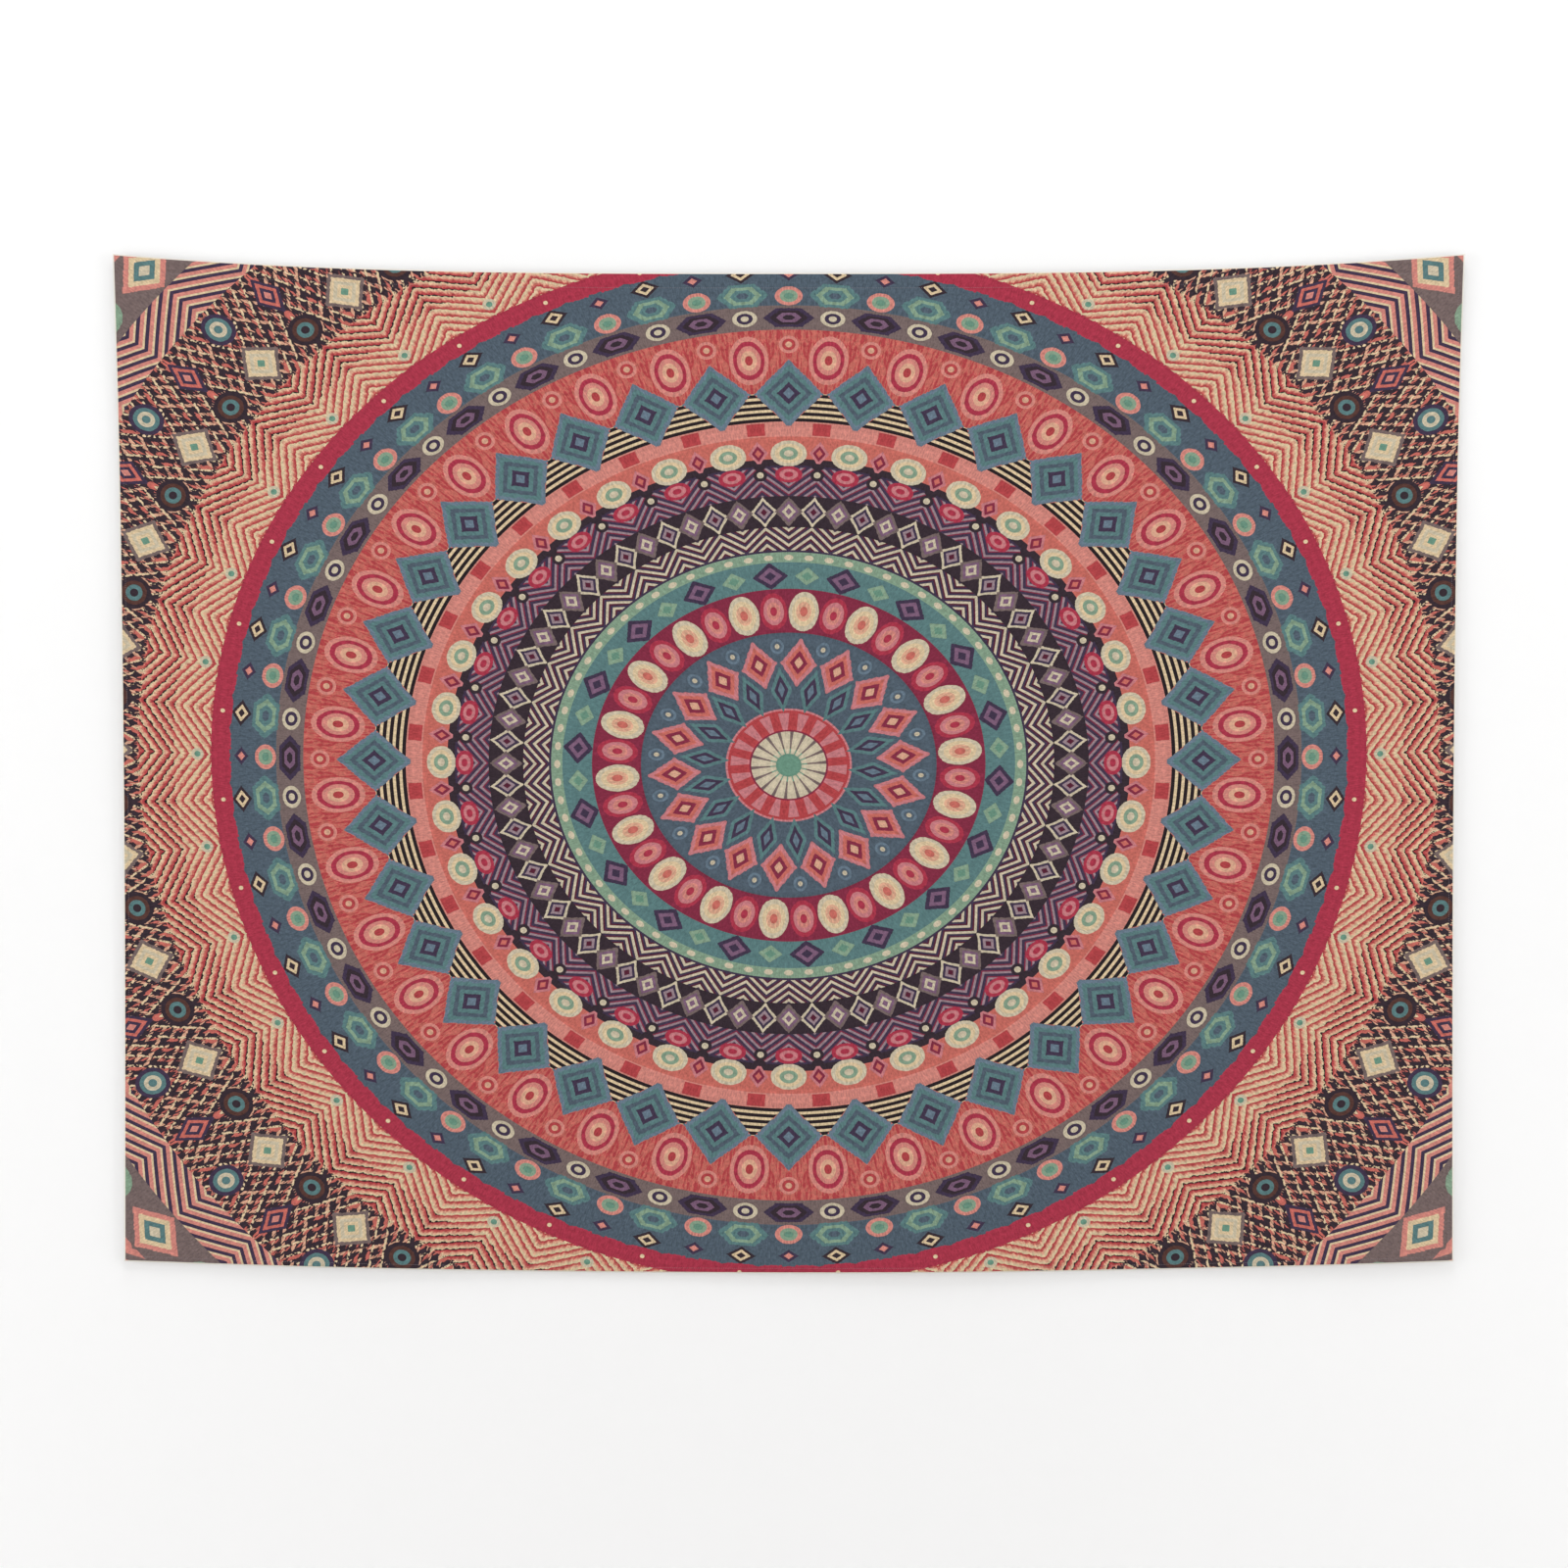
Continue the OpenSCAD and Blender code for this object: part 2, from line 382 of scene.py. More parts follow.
# ---------------------------------------------------------------- shader arithmetic
# A node is always added after the nodes that feed it, and never twice, so that the renderer
# holds few values at a time.
class Value:
    """A socket that carries a number; arithmetic on it adds Math nodes to the tree."""

    tree = None
    made = {}

    def __init__(self, source):
        self.source = source

    @staticmethod
    def start(tree):
        """Turns to a new tree."""
        Value.tree = tree
        Value.made = {}

    @staticmethod
    def math(operation, *inputs):
        """The result of a Math node, made once for the same inputs."""
        key = (operation, *(id(x) if isinstance(x, Value) else float(x) for x in inputs))
        if key in Value.made:
            return Value.made[key][0]
        node = Value.tree.nodes.new("ShaderNodeMath")
        node.operation = operation
        for socket, x in zip(node.inputs, inputs):
            if isinstance(x, Value):
                Value.tree.links.new(x.source, socket)
            else:
                socket.default_value = float(x)
        result = Value(node.outputs[0])
        Value.made[key] = (result, inputs)
        return result

    def __add__(self, other):
        return Value.math("ADD", self, other)

    def __sub__(self, other):
        return Value.math("SUBTRACT", self, other)

    def __rsub__(self, other):
        return Value.math("SUBTRACT", other, self)

    def __mul__(self, other):
        return Value.math("MULTIPLY", self, other)

    def __lt__(self, other):
        return Value.math("LESS_THAN", self, other)

    def __gt__(self, other):
        return Value.math("GREATER_THAN", self, other)

    def __abs__(self):
        return Value.math("ABSOLUTE", self)

    def plus(self, factor, term):
        """self + factor * term, where term is a value."""
        return Value.math("MULTIPLY_ADD", term, factor, self)

    def near(self, centre, half):
        """1 where the value is within half of centre."""
        return Value.math("COMPARE", self, centre, half)

    def between(self, low, high):
        """1 where the value is from low to high."""
        return self.near((low + high) / 2, (high - low) / 2)

    def wave(self, period):
        """A sawtooth from 0 to 1 over each period."""
        return Value.math("FRACT", self * (1 / period))

    def fold(self, period):
        """Up and down between 0 and the period."""
        return Value.math("PINGPONG", self, period)


def noise(tree, x, y, scale_x, scale_y, detail=2.0, shift=0.0):
    """Two-dimensional noise from about -0.5 to 0.5, stretched by a scale along each direction."""
    x, y = x * scale_x, y * scale_y
    vector = tree.nodes.new("ShaderNodeCombineXYZ")
    tree.links.new(x.source, vector.inputs[0])
    tree.links.new(y.source, vector.inputs[1])
    vector.inputs[2].default_value = shift
    node = tree.nodes.new("ShaderNodeTexNoise")
    node.noise_dimensions = "3D"
    node.inputs["Scale"].default_value = 1.0
    node.inputs["Detail"].default_value = detail
    tree.links.new(vector.outputs[0], node.inputs["Vector"])
    return Value(node.outputs["Fac"]) - 0.5


# Motifs repeat 36 times round the print, and every other one differs near the middle
FOLDS = 36
# The row of large diamonds between the coral rings: its radius, and a diamond's half sizes
LARGE_ROW = (550, 50, 46)
# How far the fibres of the cloth roughen the outline of a motif
OUTLINE_ROUGH = 0.25


class Print:
    """The cloth's print, painted motif over motif in folded polar coordinates, in millimetres.

    r is the radius; q and p are the distances from one axis of the 36-fold repeat and from the
    one half a repeat away, and a and b are the same for the 18-fold repeat."""

    def __init__(self, tree):
        self.tree = tree
        Value.start(tree)
        uv = tree.nodes.new("ShaderNodeUVMap")
        uv.uv_map = "print"
        split = tree.nodes.new("ShaderNodeSeparateXYZ")
        tree.links.new(uv.outputs[0], split.inputs[0])
        self.flat_x = Value(split.outputs[0])
        self.flat_y = Value(split.outputs[1])
        x = self.flat_x * (1000 / PRINT_STRETCH)
        y = self.flat_y * 1000
        self.r = Value.math("SQRT", (x * x).plus(1.0, y * y))
        angle = Value.math("ARCTAN2", x, y) * (FOLDS / math.pi)
        arc = self.r * (math.pi / FOLDS)
        t = angle.fold(1.0)
        self.q = t * arc
        self.p = (1 - t) * arc
        s = (angle - 1).fold(2.0)
        self.a = s * arc
        self.b = (2 - s) * arc
        self.spoke = s
        self.fibre = noise(tree, self.q, self.r, 0.30, 0.035, 3.0)
        self.rough = noise(tree, self.q, self.r, 0.16, 0.16, 3.0, 7.0)
        self.fine = noise(tree, self.q, self.r, 0.6, 0.10, 2.0, 13.0)
        self.colour = None

    def ramp(self, value, low, high, stops):
        """Colours along a value; stops are (position, ink), and each ink lasts to the next stop."""
        scaled = (value - low) * (1 / (high - low))
        node = self.tree.nodes.new("ShaderNodeValToRGB")
        node.color_ramp.interpolation = "CONSTANT"
        elements = node.color_ramp.elements
        while len(elements) > 1:
            elements.remove(elements[-1])
        for i, (at, ink) in enumerate(stops):
            place = (at - low) / (high - low)
            element = elements[0] if i == 0 else elements.new(place)
            element.position = place
            element.color = INK[ink]
        self.tree.links.new(scaled.source, node.inputs[0])
        return node.outputs[0]

    def paint(self, mask, ink):
        """Lays an ink over the print where mask is 1."""
        node = self.tree.nodes.new("ShaderNodeMix")
        node.data_type = "RGBA"
        self.tree.links.new(mask.source, node.inputs[0])
        self.tree.links.new(self.colour, node.inputs[6])
        node.inputs[7].default_value = INK[ink]
        self.colour = node.outputs[2]

    def diamond(self, w, centre, half_r, half_w):
        """Below 1 inside a diamond; w is the distance from its axis."""
        return (abs(self.r - centre) * (1 / half_r)).plus(1 / half_w, w)

    def gem(self, w, centre, half_r, half_w):
        """Below 1 inside a six-sided stone with two sides square to the radius."""
        up = abs(self.r - centre) * (1 / half_r)
        return Value.math("MAXIMUM", up, (up * 0.5).plus(1 / half_w, w))

    def oval(self, w, centre, half_r, half_w):
        """Below 1 inside an oval."""
        up = (self.r - centre) * (1 / half_r)
        side = w * (1 / half_w)
        return (up * up).plus(1.0, side * side)

    def nest(self, shape, w, centre, half_r, half_w, inks):
        """One plain shape inside another, each ink smaller than the one before."""
        for step, ink in enumerate(inks):
            share = 1 - step / len(inks)
            field = shape(w, centre, half_r * share, half_w * share)
            self.paint(field.plus(OUTLINE_ROUGH, self.fibre) < 1.0, ink)

    def dot(self, w, centre, half_r, half_w, ink):
        """A small oval with a clean outline."""
        self.paint(self.oval(w, centre, half_r, half_w) < 1.0, ink)

    def bar(self, w, low, high, half_w, ink):
        """A block between two radii, on its axis."""
        self.paint(w.near(0, half_w) * self.r.between(low, high), ink)

    def ground(self):
        """Broad rings of plain colour under the motifs."""
        self.colour = self.ramp(self.r, 0, 1260, [
            (0, "moss"), (20, "taupe"), (50, "pink"), (80, "slate"), (195, "maroon"),
            (260, "teal"), (300, "sage"), (315, "plum"), (440, "dark"), (450, "coral"),
            (485, "salmon"), (510, "coral"), (645, "taupe"), (680, "slate"), (740, "crimson"),
            (765, "peach"), (860, "dark"), (1005, "plum"), (1065, "taupe"),
        ])

    def hub_and_star(self):
        """A spoked hub, a banded ring, two rows of nested diamonds, and ovals between them."""
        a, b, r = self.a, self.b, self.r
        self.paint((self.spoke.plus(0.6, self.fibre) > 0.5) * r.between(17, 50), "bone")
        self.paint(r.between(50, 81), "pink")
        self.bar(a, 50, 81, 6, "red")
        self.paint(r.near(51, 1.2), "maroon")
        self.paint(r.near(79, 1.8), "red")
        self.nest(self.diamond, b, 112, 34, 14, ("teal", "plum", "steel"))
        self.nest(self.diamond, a, 152, 36, 24, ("pink", "coral", "maroon", "peach"))
        self.nest(self.oval, b, 176, 11, 9, ("steel", "slate", "bone"))

    def maroon_and_teal_rings(self):
        """A ring of ovals, and outside it a row of diamonds and a row of dots."""
        a, b = self.a, self.b
        self.nest(self.diamond, b, 280, 20, 24, ("plum", "mauve", "plum"))
        self.nest(self.diamond, a, 280, 20, 24, ("teal", "sage", "moss"))
        self.paint(self.r.between(196, 260), "maroon")
        self.nest(self.oval, b, 228, 27, 18, ("crimson", "pink", "salmon", "crimson"))
        self.nest(self.oval, a, 228, 29, 20, ("bone", "cream", "peach", "coral"))
        self.dot(self.q, 307, 4, 6, "bone")
        self.dot(self.p, 307, 4, 6, "bone")

    def chevron_rings(self):
        """Two bands of regular chevrons, a row of diamonds between them, and a row of ovals."""
        p, q, r = self.p, self.q, self.r
        chevron = r.plus(0.9, p).wave(12)
        self.paint(r.between(318, 352) * (chevron < 0.4), "bone")
        self.paint(r.between(318, 352) * (chevron > 0.75), "burgundy")
        self.paint(r.between(352, 398), "dark")
        self.nest(self.diamond, p, 375, 22, 18, ("bone", "plum", "lilac", "burgundy"))
        self.nest(self.diamond, q, 375, 22, 18, ("taupe", "mauve", "bone", "mauve"))
        self.paint(r.between(398, 440) * (chevron < 0.35), "lilac")
        self.paint(r.between(398, 440) * (chevron > 0.8), "maroon")
        self.nest(self.oval, q, 430, 12, 18, ("crimson", "pink", "crimson"))
        self.nest(self.oval, p, 430, 9, 9, ("dark", "bone"))

    def large_diamonds(self):
        """A row of ovals, a salmon ring of blocks, and large diamonds with striped gaps inside."""
        p, q, r = self.p, self.q, self.r
        self.nest(self.oval, q, 461, 19, 24, ("bone", "cream", "sage", "bone"))
        self.nest(self.diamond, p, 462, 18, 13, ("pink", "maroon", "coral"))
        self.dot(p, 442, 5, 8, "dark")
        self.paint(r.between(486, 508), "salmon")
        self.bar(p.plus(6, self.fibre), 488, 506, 12, "red")
        inks = ("steel", "teal", "slate", "teal", "plum", "steel")
        self.nest(self.diamond, q, *LARGE_ROW, inks)
        gap = (self.diamond(q, *LARGE_ROW) > 1.0) * r.between(508, 550)
        self.paint(gap, "black")
        self.paint(gap * (r.wave(9) < 0.45), "cream")

    def coral_to_crimson_rings(self):
        """Ovals on coral, long stones on taupe, beads and diamonds on slate, dots on crimson."""
        p, q, r, fibre = self.p, self.q, self.r, self.fibre
        above = (self.diamond(q, *LARGE_ROW) > 1.0) * r.between(550, 644)
        self.paint(above, "coral")
        self.paint(above * (self.fine.plus(1.6, fibre) > 0.04), "red")
        self.nest(self.oval, p, 600, 36, 26, ("salmon", "crimson", "salmon", "peach", "red"))
        self.nest(self.oval, q, 622, 13, 13, ("salmon", "red", "peach"))
        self.paint(r.between(644, 680), "taupe")
        self.nest(self.gem, q, 662, 14, 34, ("plum", "dark", "mauve", "dark"))
        self.nest(self.oval, p, 662, 12, 16, ("bone", "plum", "bone"))
        self.paint(r.between(680, 742), "slate")
        self.nest(self.gem, p, 696, 17, 34, ("teal", "sage", "teal", "slate"))
        self.nest(self.oval, q, 694, 14, 18, ("salmon", "sage", "moss"))
        self.nest(self.diamond, q, 726, 14, 20, ("slate", "plum", "salmon"))
        self.nest(self.diamond, p, 728, 13, 20, ("dark", "cream", "dark"))
        self.paint(r.plus(12, self.rough).between(741, 764), "crimson")
        self.dot(p, 753, 3, 3, "cream")

    def zigzags(self):
        """Zigzag stripes outside the crimson ring."""
        zone = self.r.between(766, 864)
        peak = self.r.plus(0.74, self.p).plus(7, self.rough)
        stripe = peak.wave(13).plus(0.7, self.fibre)
        self.paint(zone * (stripe < 0.42), "coral")
        self.paint(zone * (stripe < 0.22), "red")
        self.paint(zone * (stripe > 0.66), "cream")
        self.paint(zone * (stripe > 0.84) * (self.r > 815), "black")
        self.nest(self.oval, self.q, 784, 8, 9, ("bone", "moss"))

    def corners(self):
        """Short strokes towards the corners, with rows of diamonds, ovals and chevrons on them."""
        p, q, r, fibre, rough = self.p, self.q, self.r, self.fibre, self.rough
        far = r > 862
        one = Value.math("MULTIPLY_ADD", q, 0.8, r * 0.6).plus(6, rough).wave(14)
        two = Value.math("MULTIPLY_ADD", q, -0.9, r * 0.5).plus(6, rough).wave(15)
        self.paint(far * (one < 0.32) * (fibre > 0.0), "peach")
        self.paint(far * (two < 0.34) * (fibre < -0.02), "coral")
        self.paint(far * (two > 0.80) * (rough > 0.0), "cream")
        self.nest(self.oval, p, 896, 22, 24, ("dark", "brown", "teal", "dark"))
        self.nest(self.diamond, q, 904, 34, 34, ("taupe", "cream", "bone", "cream", "moss"))
        self.nest(self.diamond, p, 964, 32, 20, ("plum", "coral", "plum", "salmon"))
        self.nest(self.oval, q, 976, 24, 22, ("plum", "teal", "bone", "teal"))
        band = r.plus(-0.6, p)
        rim = r.between(1006, 1064)
        self.paint(rim, "plum")
        self.paint(rim * (band.wave(15) < 0.4), "salmon")
        self.paint(rim * (band.wave(15) > 0.78), "cream")
        self.paint(r > 1064, "taupe")
        self.nest(self.diamond, q, 1100, 34, 46, ("salmon", "cream", "teal", "bone"))
        self.nest(self.oval, p, 1100, 26, 32, ("sage", "salmon", "bone"))
        self.paint((r > 1136) * (band.wave(20) < 0.5), "salmon")

    def finish(self):
        """Tone from brush strokes and thread, and the pale edge of the cloth."""
        grain = noise(self.tree, self.flat_x, self.flat_y, 330, 330, 2.0, 31.0)
        streak = self.fine * (0.9 * PRINT_DEPTH) + PRINT_DEPTH
        tone = streak.plus(0.5, self.rough).plus(0.55, grain)
        shade = self.tree.nodes.new("ShaderNodeHueSaturation")
        self.tree.links.new(tone.source, shade.inputs["Value"])
        self.tree.links.new(self.colour, shade.inputs["Color"])
        self.colour = shade.outputs[0]
        across = abs(self.flat_x) > PRINT_W - PRINT_EDGE
        along = abs(self.flat_y - (PRINT_V - 0.5) * PRINT_H) > PRINT_H / 2 - PRINT_EDGE
        self.paint(Value.math("MAXIMUM", across, along), "white")
        return self.colour


# ---------------------------------------------------------------- materials
def material(name, roughness, specular):
    """An empty principled material with its constants set on the shader itself."""
    made = bpy.data.materials.new(name)
    made.use_nodes = True
    shader = made.node_tree.nodes["Principled BSDF"]
    shader.inputs["Roughness"].default_value = roughness
    shader.inputs["Specular IOR Level"].default_value = specular
    return made, made.node_tree, shader


def add_bump(tree, shader, height, strength, distance):
    """Raises the surface by a height, without moving it."""
    bump = tree.nodes.new("ShaderNodeBump")
    bump.inputs["Strength"].default_value = strength
    bump.inputs["Distance"].default_value = distance
    tree.links.new(height.source, bump.inputs["Height"])
    tree.links.new(bump.outputs[0], shader.inputs["Normal"])


def weave(x, y):
    """Height of a plain weave, from -1 to 1."""
    along = Value.math("SINE", x * (2 * math.pi / THREAD_PITCH))
    across = Value.math("SINE", y * (2 * math.pi / THREAD_PITCH))
    return along * across


def print_material(name, rings):
    """The print with some of its rings, dyed into a plain weave."""
    made, tree, shader = material(name, 0.92, 0.15)
    art = Print(tree)
    art.ground()
    for ring in rings:
        ring(art)
    tree.links.new(art.finish(), shader.inputs["Base Color"])
    slub = noise(tree, art.flat_x, art.flat_y, 240, 900, 2.0)
    height = weave(art.flat_x, art.flat_y).plus(1.5, slub)
    add_bump(tree, shader, height, 0.35, 0.0002)
    return made


def two_tone(tree, value, low, high, first, second):
    """A ramp between two colours as value goes from low to high."""
    scaled = (value - low) * (1 / (high - low))
    node = tree.nodes.new("ShaderNodeValToRGB")
    node.color_ramp.elements[0].color = srgb(first)
    node.color_ramp.elements[1].color = srgb(second)
    tree.links.new(scaled.source, node.inputs[0])
    return node.outputs[0]


def position(tree):
    """The object's own coordinates, in metres."""
    node = tree.nodes.new("ShaderNodeTexCoord")
    split = tree.nodes.new("ShaderNodeSeparateXYZ")
    tree.links.new(node.outputs["Object"], split.inputs[0])
    return Value(split.outputs[0]), Value(split.outputs[1]), Value(split.outputs[2])


def plain_cloth(name, first, second):
    """Undyed cloth: the weave and thicker threads here and there."""
    made, tree, shader = material(name, 0.95, 0.1)
    Value.start(tree)
    x, _, z = position(tree)
    slub = noise(tree, x, z, 60, 700, 3.0)
    blotch = noise(tree, x, z, 9, 9, 3.0, 4.0)
    tone = slub.plus(1.0, blotch)
    tree.links.new(two_tone(tree, tone, -0.35, 0.35, first, second), shader.inputs["Base Color"])
    height = weave(x, z).plus(1.5, slub)
    add_bump(tree, shader, height, 0.4, 0.0002)
    return made


def reverse_material(first, second):
    """The undyed side of the sheet: thicker threads, and the print showing through faintly."""
    made, tree, shader = material("cloth_reverse", 0.95, 0.1)
    art = Print(tree)
    slub = noise(tree, art.flat_x, art.flat_y, 60, 900, 3.0)
    bare = two_tone(tree, slub, -0.35, 0.35, first, second)
    for ring in (Print.ground, Print.hub_and_star, Print.large_diamonds, Print.zigzags):
        ring(art)
    ghost = tree.nodes.new("ShaderNodeMix")
    ghost.data_type = "RGBA"
    ghost.inputs[0].default_value = GHOST
    tree.links.new(bare, ghost.inputs[6])
    tree.links.new(art.colour, ghost.inputs[7])
    tree.links.new(ghost.outputs[2], shader.inputs["Base Color"])
    height = weave(art.flat_x, art.flat_y).plus(1.5, slub)
    add_bump(tree, shader, height, 0.4, 0.0002)
    return made


def thread_material(name, first, second, slope):
    """Twisted thread: fine slanting plies with lighter and darker fibres."""
    made, tree, shader = material(name, 0.7, 0.3)
    Value.start(tree)
    x, y, z = position(tree)
    ply = Value.math("SINE", x.plus(slope, z).plus(0.6, y) * 9000)
    fluff = noise(tree, x, z, 3000, 1200, 2.0)
    tone = fluff.plus(0.2, ply)
    tree.links.new(two_tone(tree, tone, -0.4, 0.4, first, second), shader.inputs["Base Color"])
    add_bump(tree, shader, tone, 0.5, 0.0001)
    return made


def steel_material():
    """Drawn steel wire: fine lines round the nail and dull patches."""
    made, tree, shader = material("drawn_steel", 0.35, 0.5)
    Value.start(tree)
    shader.inputs["Metallic"].default_value = 1.0
    x, y, z = position(tree)
    lines = noise(tree, y, x, 4000, 300, 2.0)
    patch = noise(tree, x, z, 500, 500, 2.0, 3.0)
    tone = lines.plus(0.8, patch)
    tree.links.new(two_tone(tree, tone, -0.4, 0.4, "8b8c90", "d0d1d4"), shader.inputs["Base Color"])
    tree.links.new((patch * 0.35 + 0.36).source, shader.inputs["Roughness"])
    add_bump(tree, shader, lines, 0.2, 0.00005)
    return made


# ---------------------------------------------------------------- the object
def build():
    """The cloth with its hems, stitching, loops, tacks and label, and the nails as modelled."""
    inner = print_material("print_inner", (
        Print.hub_and_star, Print.maroon_and_teal_rings, Print.chevron_rings,
        Print.large_diamonds))
    outer = print_material("print_outer", (
        Print.large_diamonds, Print.coral_to_crimson_rings, Print.zigzags, Print.corners))
    reverse = reverse_material("d8d2cc", "f1ede8")
    edge_cloth = plain_cloth("hem_weave", "ddd8d2", "f4f1ec")
    seam = thread_material("seam_thread", "6f666c", "a39aa0", 1.0)
    cord = thread_material("cord_fibre", "d9d2c6", "f6f2ea", 0.4)
    tack = thread_material("tack_fibre", "e2ddd4", "faf8f3", 0.2)
    steel = steel_material()
    label = plain_cloth("label_satin", "ece9e2", "fbfaf6")

    # The rows and columns of the sheet and its hems, which share them
    front, back = -CLOTH_T / 2, CLOTH_T / 2
    top_v = TOP_HEM_W / CLOTH_H
    foot_v = 1 - HEM_W / CLOTH_H
    side_u = 1 - HEM_W / HALF_W
    edge_u = (1 + side_u) / 2
    us = np.concatenate([[-1, -edge_u], np.linspace(-side_u, side_u, 241), [edge_u, 1]])
    bend = np.linspace(*BEND_V, 31)
    tall = np.concatenate([
        np.linspace(top_v, bend[0], 88), bend[1:-1], np.linspace(bend[-1], foot_v, 88)])
    top_vs = np.linspace(0, top_v, 5)
    foot_vs = np.linspace(foot_v, 1, 3)
    vs = np.concatenate([top_vs[:-1], tall, foot_vs[1:]])
    sheet = strip(
        "tapestry_sheet", us, vs, front, back, [inner, outer, reverse])
    hems = {name: strip(name, columns, rows, back, far, [edge_cloth])
            for name, columns, rows, far in (
                ("top_hem_fold", us, top_vs, TOP_HEM_FAR),
                ("bottom_hem_fold", us, foot_vs, HEM_FAR),
                ("left_hem_fold", us[:3], tall, HEM_FAR),
                ("right_hem_fold", us[-3:], tall, HEM_FAR),
            )}
    line_u = side_u + SEAM_IN / HALF_W
    top_line, foot_line = top_v - SEAM_IN / CLOTH_H, foot_v + SEAM_IN / CLOTH_H
    side_top, side_foot = top_v + SEAM_IN / CLOTH_H, foot_v - SEAM_IN / CLOTH_H
    seams = {name: stitch_row(name, start, end, far, seam)
             for name, start, end, far in (
                 ("top_hem_seam", (-line_u, top_line), (line_u, top_line), TOP_HEM_FAR),
                 ("bottom_hem_seam", (-line_u, foot_line), (line_u, foot_line), HEM_FAR),
                 ("left_hem_seam", (-line_u, side_top), (-line_u, side_foot), HEM_FAR),
                 ("right_hem_seam", (line_u, side_top), (line_u, side_foot), HEM_FAR),
             )}
    sides = (("left", -1), ("right", 1))
    loops = {side: cord_loop(f"{side}_cord_loop", sign, cord) for side, sign in sides}
    tacks = {side: loop_tacks(f"{side}_tack_thread", sign, tack) for side, sign in sides}

    label_low, label_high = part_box("care_label")
    label_us = np.linspace(label_low.x / LABEL_HALF_W, label_high.x / LABEL_HALF_W, 9)
    label_vs = np.linspace(
        (CORNER_Z - label_high.z) / CLOTH_H, (CORNER_Z - label_low.z) / CLOTH_H, 13)
    label_front = back + LABEL_GAP
    tag = strip("blank_label", label_us, label_vs, label_front, label_front + LABEL_T,
                [label])

    for obj, nodes in (
        (sheet, ("printed_cloth_upper", "printed_cloth_lower")),
        (hems["top_hem_fold"], ("top_hem",)),
        (hems["bottom_hem_fold"], ("bottom_hem",)),
        (hems["left_hem_fold"], ("left_hem_upper", "left_hem_lower")),
        (hems["right_hem_fold"], ("right_hem_upper", "right_hem_lower")),
        (seams["top_hem_seam"], ("top_hem_stitching",)),
        (seams["bottom_hem_seam"], ("bottom_hem_stitching",)),
        (seams["left_hem_seam"], ("left_hem_stitching_upper", "left_hem_stitching_lower")),
        (seams["right_hem_seam"], ("right_hem_stitching_upper", "right_hem_stitching_lower")),
        (loops["left"], ("left_hanging_loop",)),
        (loops["right"], ("right_hanging_loop",)),
        (tacks["left"], ("left_loop_tacks",)),
        (tacks["right"], ("right_loop_tacks",)),
        (tag, ("care_label",)),
    ):
        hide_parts(*nodes)

    for obj in (sheet, hems["left_hem_fold"], hems["right_hem_fold"],
                seams["left_hem_seam"], seams["right_hem_seam"]):
        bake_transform(obj)
    for obj in (hems["top_hem_fold"], seams["top_hem_seam"], *loops.values(), *tacks.values()):
        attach(obj, "upper_cloth")
    for obj in (hems["bottom_hem_fold"], seams["bottom_hem_seam"], tag):
        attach(obj, "lower_cloth")
    for name in ("left_nail", "right_nail"):
        nail = frame["nodes"][name]
        nail.data.materials.clear()
        nail.data.materials.append(steel)


# ---------------------------------------------------------------- room, light and camera
ROOM_HALF = 6
FLOOR_Z = -2.6
WALL_TOP = 4
FLOOR_FRONT, FLOOR_BACK = -8, 4


def plane(name, corners, made):
    """A four-cornered part of the room."""
    mesh = bpy.data.meshes.new(name)
    mesh.from_pydata(corners, [], [(0, 1, 2, 3)])
    obj = bpy.data.objects.new(name, mesh)
    bpy.context.scene.collection.objects.link(obj)
    mesh.materials.append(made)
    return obj


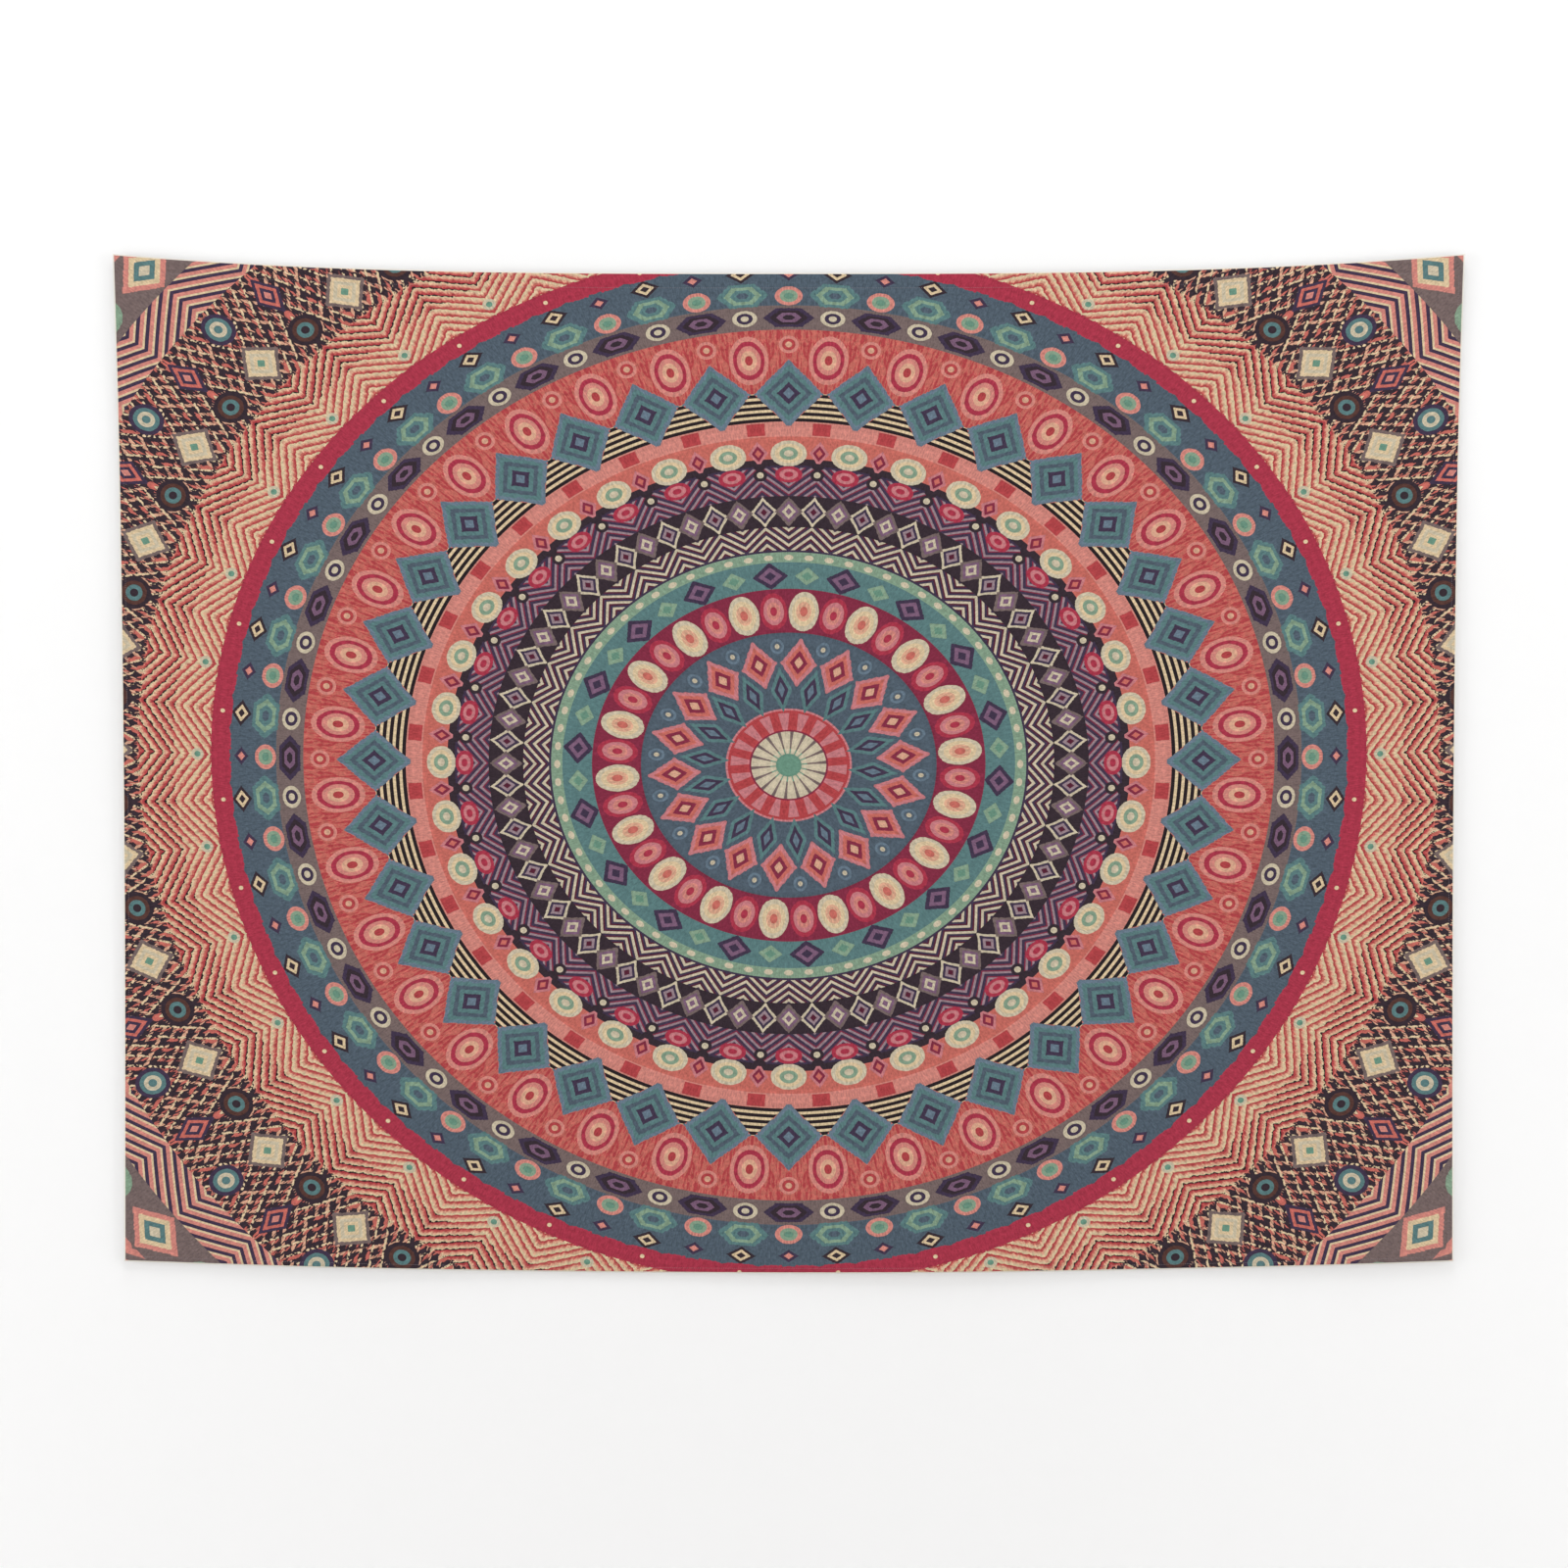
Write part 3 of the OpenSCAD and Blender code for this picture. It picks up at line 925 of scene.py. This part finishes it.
def room():
    """A white wall, seen only from the front, that lets light past, and a pale floor below."""
    wall, tree, shader = material("wall_paint", 0.9, 0.1)
    shader.inputs["Base Color"].default_value = (0.965, 0.965, 0.965, 1)
    side = tree.nodes.new("ShaderNodeNewGeometry")
    clear = tree.nodes.new("ShaderNodeBsdfTransparent")
    mix = tree.nodes.new("ShaderNodeMixShader")
    tree.links.new(side.outputs["Backfacing"], mix.inputs[0])
    tree.links.new(shader.outputs[0], mix.inputs[1])
    tree.links.new(clear.outputs[0], mix.inputs[2])
    tree.links.new(mix.outputs[0], tree.nodes["Material Output"].inputs[0])
    face = plane("wall", [
        (-ROOM_HALF, 0, FLOOR_Z), (ROOM_HALF, 0, FLOOR_Z),
        (ROOM_HALF, 0, WALL_TOP), (-ROOM_HALF, 0, WALL_TOP)], wall)
    face.visible_diffuse = face.visible_glossy = face.visible_shadow = False
    floor, tree, shader = material("floor_paint", 0.8, 0.1)
    shader.inputs["Base Color"].default_value = (0.86, 0.85, 0.84, 1)
    plane("floor", [
        (-ROOM_HALF, FLOOR_FRONT, FLOOR_Z), (ROOM_HALF, FLOOR_FRONT, FLOOR_Z),
        (ROOM_HALF, FLOOR_BACK, FLOOR_Z), (-ROOM_HALF, FLOOR_BACK, FLOOR_Z)], floor)


def soft_box(name, place, aim, size, watts):
    """A square area light turned to a point."""
    lamp = bpy.data.lights.new(name, "AREA")
    lamp.shape = "SQUARE"
    lamp.size = size
    lamp.energy = watts
    box = bpy.data.objects.new(name, lamp)
    bpy.context.scene.collection.objects.link(box)
    box.location = place
    box.rotation_euler = (Vector(aim) - box.location).to_track_quat("-Z", "Y").to_euler()


def lights():
    """Even light from all round, three soft boxes in front, and one that only lights the back."""
    world = bpy.data.worlds.new("studio")
    bpy.context.scene.world = world
    world.use_nodes = True
    sky = world.node_tree.nodes["Background"]
    sky.inputs["Color"].default_value = (1, 1, 1, 1)
    sky.inputs["Strength"].default_value = 0.39
    middle, box_size = (0, 0, -0.75), 3.0
    for name, place, watts in (
        ("left_box", (-4.6, -2.0, -0.6), 98),
        ("right_box", (4.6, -2.0, -0.6), 98),
        ("top_box", (0, -1.9, 3.6), 118),
        ("back_box", (0, 5.0, 1.5), 90),
    ):
        soft_box(name, place, middle, box_size, watts)


# The eye's place along the wall, its distance from the cloth and its height, in metres, and the
# lens and its sensor, in millimetres
EYE_X, EYE_AWAY, EYE_Z = -0.007, 5.4755, -0.777
LENS, SENSOR_W = 85, 36


def camera():
    """A long lens square to the cloth, near the height of its middle."""
    lens = bpy.data.cameras.new("camera")
    lens.lens = LENS
    lens.sensor_width = SENSOR_W
    eye = bpy.data.objects.new("camera", lens)
    bpy.context.scene.collection.objects.link(eye)
    eye.location = (EYE_X, MID_Y - EYE_AWAY, EYE_Z)
    eye.rotation_euler = (math.pi / 2, 0, 0)
    bpy.context.scene.camera = eye


build()
room()
lights()
camera()
bpy.context.scene.view_settings.view_transform = "Standard"
bpy.context.view_layer.update()
